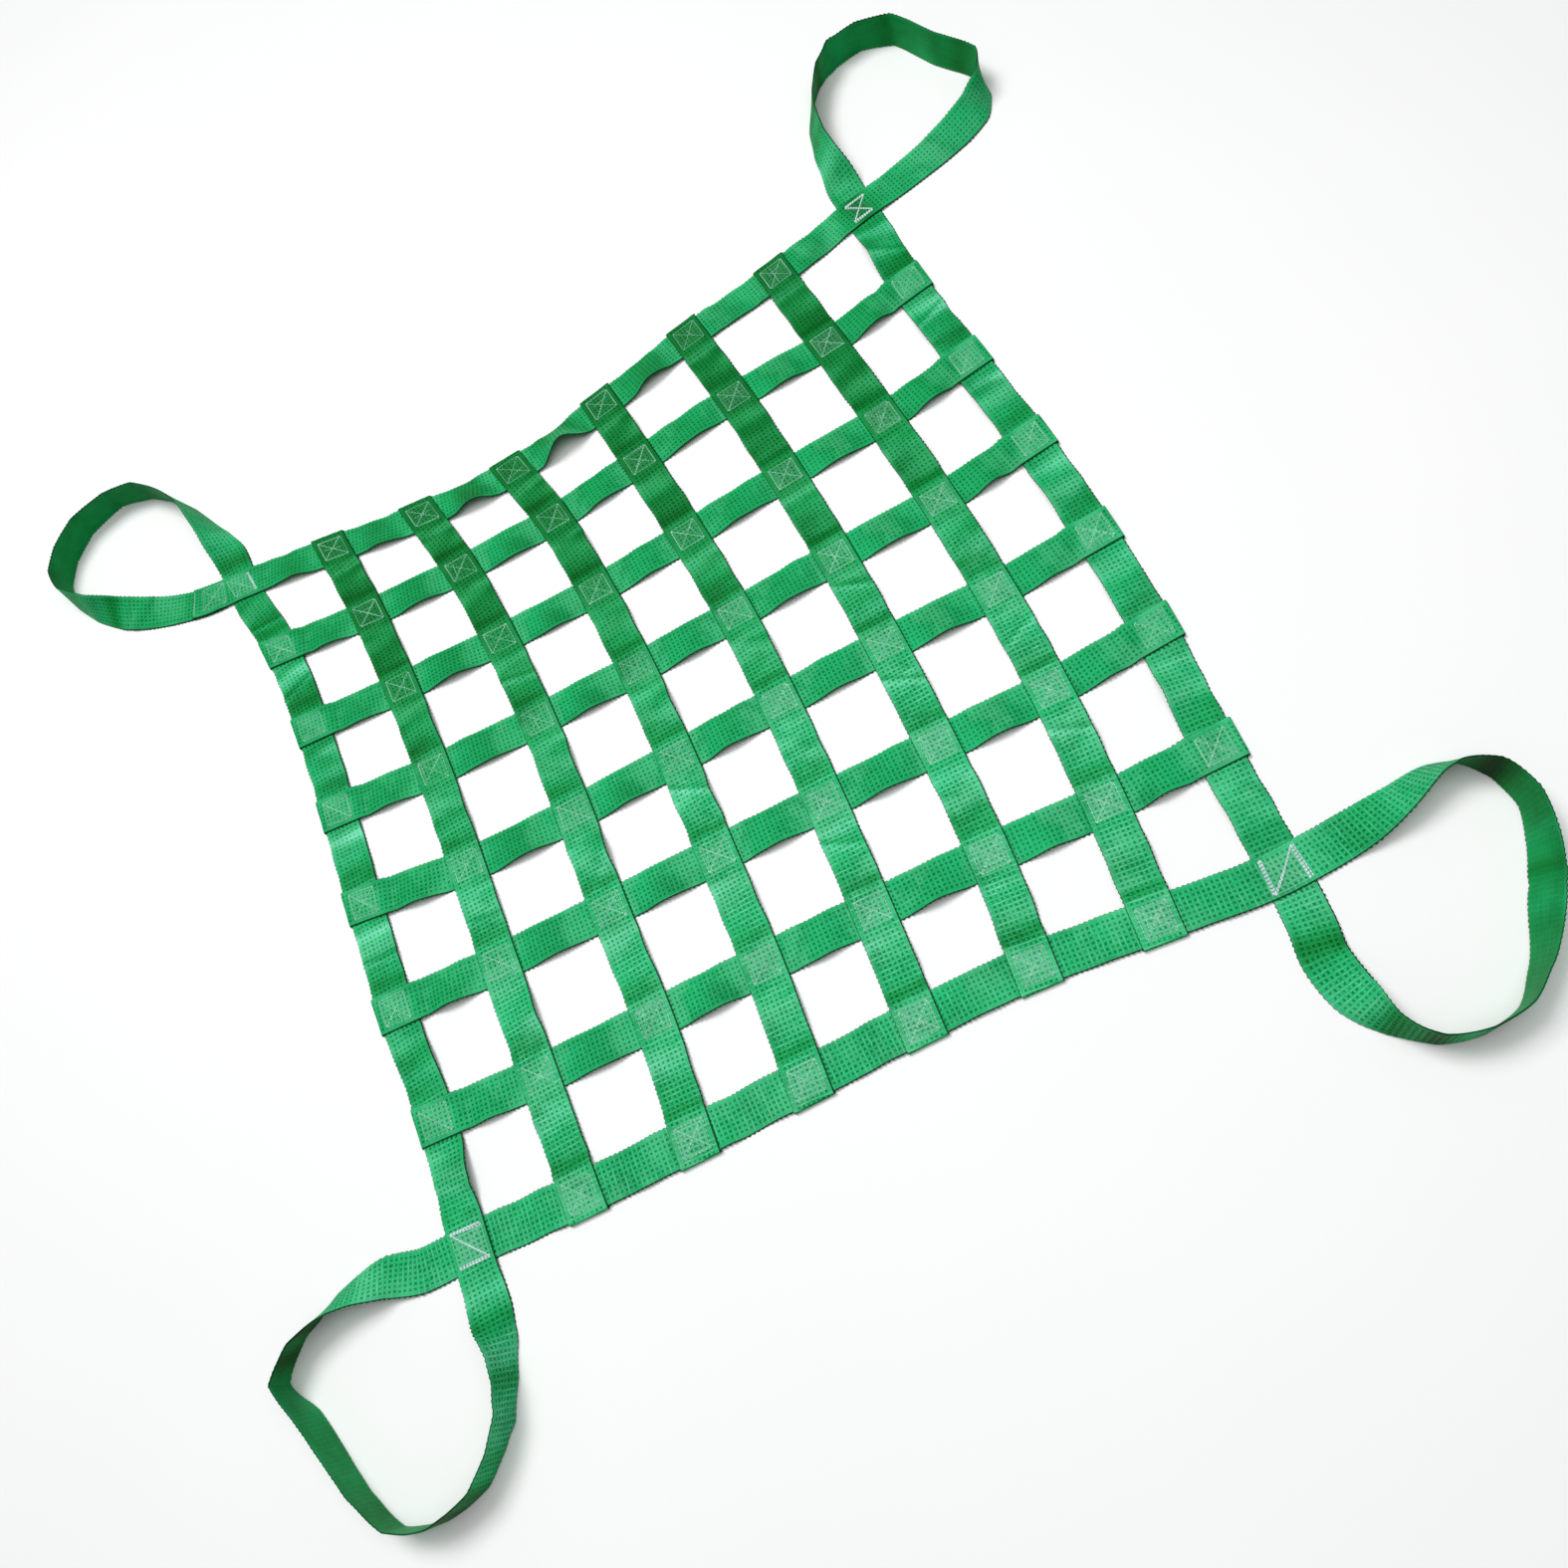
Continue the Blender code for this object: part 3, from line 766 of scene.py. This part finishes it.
def stitch_places(lines, mark, skew, rng, wobble=0.35, gap=STITCH_GAP):
    """Start and end places (w, u) of every stitch on a pattern's lines, in metres."""
    starts, ends = [], []
    for line in lines:
        a, b = (
            np.array(end) * MM + np.array([rng.uniform(-wobble, wobble) * MM for _ in end])
            for end in (line[:2], line[2:])
        )
        length = float(np.linalg.norm(b - a))
        count = max(1, round(length / STITCH_PITCH))
        clear = gap / (length / count) / 2
        for k in range(count):
            starts.append(a + (b - a) * (k + clear) / count)
            ends.append(a + (b - a) * (k + 1 - clear) / count)
    places = np.array((starts, ends))
    places[..., 0] += mark + skew * places[..., 1]
    return places


def beads(ribbon, places, thread, side=1):
    """Vertices and faces of rounded stitches lying on one face of the webbing."""
    (a, normal), (b, other) = (ribbon.surface(*end.T, side) for end in places)
    thick, n = thread
    normal = unit(normal + other)
    across = np.cross(normal, unit(b - a))
    sunk = SUNK * thick
    turns = 2 * np.pi * np.arange(n) / n
    out = across[:, None] * np.cos(turns)[:, None]
    up = normal[:, None] * np.sin(turns)[:, None] * FLATNESS
    rings = [(a - normal * sunk)[:, None]]
    for share, full in BEAD_RINGS:
        centre = a * (1 - share) + b * share + normal * sunk
        rings.append(centre[:, None] + (out + up) * thick / 2 * full)
    rings.append((b - normal * sunk)[:, None])
    points = np.concatenate(rings, axis=1)
    faces = []
    final = 1 + (len(BEAD_RINGS) - 1) * n
    for k in range(n):
        k2 = (k + 1) % n
        faces.append((0, 1 + k2, 1 + k))
        for low in range(1, final, n):
            faces.append((low + k, low + k2, low + n + k2, low + n + k))
        faces.append((final + k, final + k2, final + n))
    return points, faces


def thread_object(name, batches, material):
    verts, faces = [], []
    base = 0
    for points, pattern in batches:
        for low in range(base, base + points.shape[0] * points.shape[1], points.shape[1]):
            faces += [[low + i for i in face] for face in pattern]
        verts.append(points.reshape(-1, 3))
        base += len(verts[-1])
    mesh = bpy.data.meshes.new(name)
    mesh.from_pydata(np.concatenate(verts).tolist(), [], faces)
    mesh.shade_smooth()
    piece = add_object(name, mesh, material)
    declare(piece)
    return piece


def corner_threads(border, mint, white):
    """The sewing at the four corners and beside the lap of the border strap."""
    rng = random.Random(CORNER_SEED)
    fine, heavy = [], []
    for (mark, skew), (half, *named) in zip(border.corners, CORNER_SEWING):
        for names, shifts, into in zip(named, CORNER_SHIFTS, (heavy, heavy, fine)):
            for name in names:
                parts = ((1.0, 0.2) if name in ("front", "back") else (0.2, 1.0)) * 2
                for shift in shifts:
                    line = [v * (half / BOX) + shift * part for v, part in zip(SIDES[name], parts)]
                    into.append(stitch_places([line], mark, skew, rng, CORNER_WOBBLE, CORNER_GAP))
    hidden = [
        stitch_places(SIDES.values(), mark, skew, rng) for mark, skew in border.undersides
    ]
    for lines in (box_lines(rng, LAP_EXTRA), LAP_LINES):
        fine.append(stitch_places(lines, LAP_SEAM, 0.0, rng))
    batches = [beads(border, places, FINE_THREAD) for places in fine]
    batches += [beads(border, places, HIDDEN_THREAD, -1) for places in hidden]
    light = thread_object("border_strap_thread", batches, mint)
    batches = [beads(border, places, HEAVY_THREAD) for places in heavy]
    return light, thread_object("corner_thread", batches, white)


class Shade:
    """Wires the nodes of one material from node outputs and plain numbers."""

    def __init__(self, name):
        self.material = bpy.data.materials.new(name)
        self.material.use_nodes = True
        self.nodes = self.material.node_tree.nodes
        self.shader = self.nodes["Principled BSDF"]

    def put(self, socket, value):
        if isinstance(value, bpy.types.NodeSocket):
            self.material.node_tree.links.new(value, socket)
        else:
            socket.default_value = value

    def set(self, name, value):
        """Links or sets one of the shader's own sockets."""
        self.put(self.shader.inputs[name], value)

    def node(self, kind, inputs, output=0, **settings):
        """A new node's output; inputs, by name or number, are linked or set."""
        node = self.nodes.new(kind)
        for key, value in settings.items():
            setattr(node, key, value)
        for key, value in inputs.items():
            self.put(node.inputs[key], value)
        return node.outputs[output]

    def math(self, operation, *values):
        return self.node("ShaderNodeMath", dict(enumerate(values)), operation=operation)

    plus = partialmethod(math, "ADD")
    minus = partialmethod(math, "SUBTRACT")
    times = partialmethod(math, "MULTIPLY")
    over = partialmethod(math, "DIVIDE")
    power = partialmethod(math, "POWER")
    size = partialmethod(math, "ABSOLUTE")
    wrap = partialmethod(math, "WRAP")
    larger = partialmethod(math, "MAXIMUM")
    linear = partialmethod(math, "MULTIPLY_ADD")  # value, slope, start

    def less(self, value, mask, share):
        """Value, cut by a share of itself where the mask is 1."""
        return self.times(value, self.linear(mask, -share, 1.0))

    def vary(self, level, noise, size):
        """Level, with a noise about 0.5 added at this size."""
        return self.linear(self.minus(noise, 0.5), size, level)

    def ripple(self, operation, place, count):
        """0 to 1 and back, this many times in a dimple pitch."""
        swing = self.math(operation, self.times(place, 2 * math.pi * count))
        return self.linear(swing, 0.5, 0.5)

    def fit(self, value, low, high, to_low=0.0, to_high=1.0):
        """Value from the first range eased into the second."""
        inputs = dict(enumerate((value, low, high, to_low, to_high)))
        return self.node("ShaderNodeMapRange", inputs, interpolation_type="SMOOTHSTEP")

    def split(self, vector):
        """X and Y of a vector."""
        return self.node("ShaderNodeSeparateXYZ", {0: vector}, slice(0, 2))

    def place(self):
        return self.node("ShaderNodeTexCoord", {}, "Object")

    def attribute(self, name):
        return self.node("ShaderNodeAttribute", {}, "Fac", attribute_name=name)

    def noise(self, vector, scale, detail=2.0, rough=0.5):
        inputs = {"Vector": vector, "Scale": scale, "Detail": detail, "Roughness": rough}
        return self.node("ShaderNodeTexNoise", inputs)

    def stretch(self, vector, scale):
        return self.node("ShaderNodeMapping", {"Vector": vector, "Scale": scale})

    def blend(self, share, first, second, kind="MIX"):
        inputs = {0: share, 6: first, 7: second}
        return self.node("ShaderNodeMix", inputs, 2, data_type="RGBA", blend_type=kind)

    def bump(self, height, along, strength):
        inputs = {"Strength": strength, "Distance": along, "Height": height}
        self.set("Normal", self.node("ShaderNodeBump", inputs))


# Colours: painted shade in the dimples between the threads of the webbing, of the threads, and
# where they are worn or carry painted highlights
DIMPLE_SHADE = (0.001, 0.16, 0.036, 1)
GREEN = (0.010, 0.42, 0.140, 1)
PALE = (0.110, 0.57, 0.28, 1)
# Painted shadow along the edges
EDGE_SHADOW = (0.001, 0.03, 0.008, 1)
SEWN_OVER = (0.19, 0.52, 0.34, 1)
# Painted shade darkens red and blue by these powers
DARKENING = (2.6, 1.0, 1.9)  # powers: dark places lose red and blue before green
MINT = ((0.17, 0.50, 0.33, 1), (0.33, 0.70, 0.52, 1))
WHITE = ((0.40, 0.61, 0.57, 1), (0.60, 0.76, 0.76, 1))
FLOOR = ((0.84, 0.845, 0.85, 1), (0.88, 0.88, 0.88, 1))

# Looks of the webbing: painted highlight lines, scuffs, painted brightness in the north and in the
# south, the Y places between which it changes, and how far the painted tone shows
LOOKS = {
    "border_green": (0.52, 0.25, 0.96, 1.08, (-0.4, 0.5), 0.25),
    "row_green": (0.24, 0.34, 0.92, 1.06, (-0.5, 0.5), 0.12),
    "column_green": (0.90, 0.36, 0.52, 1.07, (-0.25, 0.38), 0.27),
}

# Noises of the webbing: scale for each dimple pitch, detail, roughness
WANDER = (0.9, 2.0)
PATCHES = (1.3, 1.0)
GRAIN = (7.0, 2.0, 0.6)
CLOUDS = (0.107, 3.0, 0.55)
FROST = (3.2, 2.0, 0.6)
# Long noises: scale across and along
STREAKS = (0.35, 3.1, 1.0)
WARP_ENDS = (5.0, 0.12, 1.0)
SCUFFS = (0.067, 0.113, 1.0)

# The weave across the strap, in dimple pitches from its middle
HOLE_RADII = (0.235, 0.25)
HOLE_POWER = 2.4
WOVEN_TO = (3.4, 3.6)
WORN_FROM = (3.68, 4.05)
# Painted shadow on the edge faces from here
EDGE_FROM = (4.17, 4.245)
UNDER_FROM = (9.0, 11.0)


def webbing_material(name):
    """Woven webbing: dimples in painted shade on a square lattice, bright weft, fine warp, worn
    edges, painted light and shade.
    """
    painted_glints, scuffed, north_level, south_level, fades, painted_shading = LOOKS[name]
    shade = Shade(name)
    uv = shade.node("ShaderNodeUVMap", {}, uv_map="weave")
    across, along = shade.split(uv)
    off_side = shade.size(shade.wrap(across, UNDER_U / 2, -UNDER_U / 2))
    inside = shade.fit(off_side, *WOVEN_TO, 1.0, 0.0)
    under = shade.fit(across, *UNDER_FROM)
    north = shade.fit(shade.split(shade.place())[1], *fades)
    tone = shade.attribute("tone")
    grain = shade.noise(uv, *GRAIN)
    wander = shade.times(shade.minus(shade.noise(uv, *WANDER), 0.5), 0.55)
    u, v = (shade.wrap(shade.plus(place, wander), 0.5, -0.5) for place in (across, along))

    # Dimples, darkened with painted shade, with painted glints as finer spots at half their pitch
    parts = [shade.size(shade.over(*pair)) for pair in zip((u, v), HOLE_RADII)]
    parts = [shade.power(part, HOLE_POWER) for part in parts]
    hole = shade.times(shade.fit(shade.plus(*parts), 0.35, 1.5, 1.0, 0.0), inside)
    hole = shade.times(hole, shade.fit(shade.noise(uv, *PATCHES), 0.25, 0.6, 0.5, 1.0))
    # Painted glints: pale spots at half the dimple pitch, also fed into the painted highlight
    # lines
    fine = shade.times(shade.ripple("COSINE", u, 2), shade.ripple("COSINE", v, 2))
    fine = shade.times(fine, inside)
    fine = shade.times(fine, shade.minus(1.0, shade.larger(hole, under)))
    hole = shade.less(hole, under, 0.85)

    # Threads along and across, and painted highlights as pale lines between the rows of dimples,
    # fading to the north
    weft = shade.ripple("SINE", shade.plus(along, wander), 3)
    warp = shade.ripple("SINE", across, 4)
    ends = shade.noise(shade.stretch(uv, WARP_ENDS), 1.0)
    line = shade.fit(shade.size(shade.minus(shade.size(v), 0.5)), 0.05, 0.22, 1.0, 0.0)
    streak = shade.noise(shade.stretch(uv, STREAKS), 1.0)
    line = shade.times(line, shade.fit(streak, 0.40, 0.62))
    line = shade.less(shade.less(line, under, 0.8), north, 0.85)
    line = shade.larger(line, shade.times(fine, 0.5))

    level = 0.62
    cloud = shade.noise(uv, *CLOUDS)
    for noise, size in ((cloud, 1.1), (ends, 0.6), (grain, 0.5), (weft, 0.12)):
        level = shade.vary(level, noise, size)
    # Painted shade darkens the dimples; painted glints lighten the finer spots between them
    level = shade.linear(fine, 0.16, shade.linear(hole, -0.56, level))
    colour = shade.blend(shade.fit(level, 0.0, 1.0), DIMPLE_SHADE, GREEN)

    # Scuffs with painted highlights from the tone, painted highlight lines, and fluff near the
    # edges
    scuff_and_highlight = shade.noise(shade.stretch(uv, SCUFFS), 1.0, 4.0, 0.6)
    scuff_and_highlight = shade.times(shade.fit(scuff_and_highlight, 0.44, 0.62), scuffed)
    # The tone adds painted highlights to the real scuffs
    scuff_and_highlight = shade.larger(shade.plus(scuff_and_highlight, shade.times(tone, painted_shading)), 0.0)
    scuff_and_highlight = shade.times(shade.less(scuff_and_highlight, hole, 0.75), shade.minus(1.0, under))
    colour = shade.blend(scuff_and_highlight, colour, PALE)
    # Painted highlight lines between the rows of dimples
    colour = shade.blend(shade.times(line, painted_glints), colour, PALE)
    worn = shade.times(shade.fit(off_side, *WORN_FROM), shade.fit(grain, 0.4, 0.65, 0.0, 0.45))
    colour = shade.blend(worn, colour, PALE)

    # Painted light and shade: brightness from south to north, painted shade on the bottom face,
    # and the tone
    bright = shade.linear(north, north_level - south_level, south_level)
    bright = shade.less(bright, under, 0.32)
    bright = shade.times(bright, shade.linear(tone, painted_shading, 1.0))
    tint = [shade.power(bright, power) for power in DARKENING]
    tint = shade.node("ShaderNodeCombineXYZ", dict(enumerate(tint)))
    colour = shade.blend(1.0, colour, tint, "MULTIPLY")

    # Painted shadow along the edges, and thread over the webbing where it is sewn
    rim = shade.fit(off_side, *EDGE_FROM, 0.0, 0.85)
    rim = shade.larger(rim, shade.fit(shade.attribute("rim"), 0.925, 0.955, 0.0, 0.88))
    colour = shade.blend(rim, colour, EDGE_SHADOW)
    frost = shade.fit(shade.noise(uv, *FROST), 0.36, 0.60, 0.20, 0.70)
    frost = shade.less(shade.times(frost, shade.attribute("sewn")), hole, 0.75)
    shade.set("Base Color", shade.blend(frost, colour, SEWN_OVER))

    shade.set("Roughness", shade.linear(hole, 0.40, shade.linear(grain, 0.20, 0.38)))
    shade.set("Sheen Weight", 0.01)
    shade.set("Sheen Roughness", 0.45)
    shade.set("Specular IOR Level", 0.05)
    height = 0.6
    for part, share in ((hole, -1.0), (weft, 0.20), (warp, 0.22), (line, 0.30), (grain, 0.25)):
        height = shade.linear(part, share, height)
    shade.bump(height, 0.0005, 0.9)
    return shade.material


def thread_material(name, dull, light):
    """Twisted sewing thread."""
    shade = Shade(name)
    grain = shade.noise(shade.place(), 900.0)
    tone = shade.fit(shade.noise(shade.place(), 40.0), 0.3, 0.7)
    shade.set("Base Color", shade.blend(tone, dull, light))
    shade.set("Roughness", shade.linear(grain, 0.2, 0.35))
    shade.set("Sheen Weight", 0.2)
    shade.bump(grain, 0.0002, 0.6)
    return shade.material


def floor_material():
    shade = Shade("floor_white")
    tone = shade.noise(shade.place(), 1.5)
    shade.set("Base Color", shade.blend(tone, *FLOOR))
    shade.set("Roughness", shade.linear(tone, 0.1, 0.75))
    return shade.material


def declare(piece, node=None):
    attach(piece, "root")
    if node:
        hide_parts(node)


# How densely crossings are sewn, 0 to 1: more towards the south-east, by row plus column
SPARSE, GROWTH = 0.08, 0.62
GROWS_FROM, GROWS_OVER = 4, 8
COLUMN_LEAST = 0.5  # at the south border
ROW_MOST, ROW_MORE = 0.2, 0.15  # at the border


def sewing_of(ribbon, kind, number):
    """Where a strap is sewn from its top face: (place, skew, how dense the sewing is)."""
    found = []
    for k in (0, LAST) if kind == "row" else range(LAST + 1):
        share = (number + k - GROWS_FROM) / GROWS_OVER
        dense = SPARSE + GROWTH * min(max(share, 0.0), 1.0)
        if kind == "row":
            dense = min(dense, ROW_MOST) + ROW_MORE
        elif k == LAST:
            dense = max(dense, COLUMN_LEAST)
        found.append((*ribbon.marks[k], dense))
    return found


def frosting(ribbon, sewn):
    """How pale the thread makes each point of the webbing, 0 to 1."""
    u = ribbon.across
    total = np.zeros_like(u)
    beside = np.clip((FROST_HALF - np.abs(u)) / FROST_EDGE, 0, 1)
    for mark, skew, dense in sewn:
        off = np.abs(ribbon.stations[:, None] - skew * u - mark)
        inside = np.clip((FROST_HALF - off) / FROST_EDGE, 0, 1) * beside
        total = np.maximum(total, inside * dense)
    return total


def dress_border(crossing, mint, white):
    """The border strap in two pieces, cut at a crossing of the south side, and its sewing."""
    border = border_ribbon(crossing)
    sewn = [(mark, skew, dense) for (mark, skew), dense in zip(border.corners, CORNER_FROST)]
    frost = frosting(border, sewn + [(LAP_SEAM, 0.0, LAP_FROST)])
    cut = int(np.searchsorted(border.stations, border.middle_mark))
    green = webbing_material("border_green")
    first = border.mesh_object(green, "_a_webbing", frost, 0, cut + 1)
    second = border.mesh_object(green, "_b_webbing", frost, cut)
    threads = corner_threads(border, mint, white)
    length = border.stations[cut]
    for piece, stretch, sewing in (
        (first, length, list(threads)),
        (second, border.length - length, []),
    ):
        declare(piece, "border_strap")


def dress_inner(ribbon, kind, number, green, mint):
    """An inner strap and its sewing, which also shows on its tails and under the rows."""
    sewn = sewing_of(ribbon, kind, number)
    piece = ribbon.mesh_object(green, "_webbing", frosting(ribbon, sewn))
    declare(piece, ribbon.name)
    sew = random.Random(ribbon.name + "_sewing")
    batches = []
    for mark, skew, extra in sewn:
        places = stitch_places(box_lines(sew, extra), mark, skew, sew)
        batches.append(beads(ribbon, places, FINE_THREAD))
    hidden = [(*tail, 1) for tail in ribbon.tail_marks]
    if kind == "row":
        hidden += [(*crossed, -1) for crossed in ribbon.marks[1:-1]]
    for mark, skew, side in hidden:
        places = stitch_places(SIDES.values(), mark, skew, sew)
        batches.append(beads(ribbon, places, HIDDEN_THREAD, side))
    thread = thread_object(ribbon.name + "_thread", batches, mint)


def build():
    crossing = lattice()
    rng = random.Random(STRAP_SEED)
    mint = thread_material("thread_mint", *MINT)
    dress_border(crossing, mint, thread_material("thread_white", *WHITE))
    for kind, (over, leans, flutter, puffs) in INNER.items():
        green = webbing_material(kind + "_green")
        grid = crossing if kind == "row" else crossing.swapaxes(0, 1)
        for number, puff in enumerate(puffs, start=1):
            headings = unit(grid[number + 1] - grid[number - 1])
            ribbon = inner_ribbon(f"{kind}_strap_{number}", grid[number], headings, over,
                                  leans, flutter, puff * MM, rng)
            dress_inner(ribbon, kind, number, green, mint)


FLOOR_CORNERS = ((-6, -6, 0), (6, -6, 0), (6, 6, 0), (-6, 6, 0))
WORLD_STRENGTH = 0.18
# Lamps: name, place, size and power
LAMPS = (
    ("window", (-1.2, 2.3, 5.6), 2.6, 270),
    ("overhead", (0.4, -0.5, 3.0), 2.6, 48),
)
# Camera, fitted to the crossings in the photo: right, up and back, its place and its lens
CAMERA_AXES = ((0.8774, -0.4008, -0.2636), (0.4727, 0.8158, 0.3332), (0.0815, -0.4170, 0.9053))
CAMERA_PLACE = (0.2009, -0.8370, 1.3717)
LENS = 28.93
SENSOR = 36.0


def floor_and_light():
    mesh = bpy.data.meshes.new("floor")
    mesh.from_pydata(FLOOR_CORNERS, [], [(0, 1, 2, 3)])
    add_object("floor", mesh, floor_material())
    world = bpy.data.worlds.new("studio")
    world.use_nodes = True
    background = world.node_tree.nodes["Background"]
    background.inputs["Color"].default_value = (1, 1, 1, 1)
    background.inputs["Strength"].default_value = WORLD_STRENGTH
    bpy.context.scene.world = world
    bpy.context.scene.view_settings.view_transform = "Standard"
    for name, place, size, energy in LAMPS:
        lamp = bpy.data.lights.new(name, "AREA")
        lamp.energy = energy
        lamp.size = size
        light = add_object(name, lamp)
        light.location = place
        light.rotation_euler = (-light.location).to_track_quat("-Z", "Y").to_euler()


def camera():
    data = bpy.data.cameras.new("camera")
    data.lens = LENS
    data.sensor_width = SENSOR
    data.sensor_fit = "HORIZONTAL"
    eye = add_object("camera", data)
    turn = Matrix(CAMERA_AXES).transposed()
    eye.matrix_world = Matrix.Translation(CAMERA_PLACE) @ turn.to_4x4()
    bpy.context.scene.camera = eye


camera()
build()
floor_and_light()
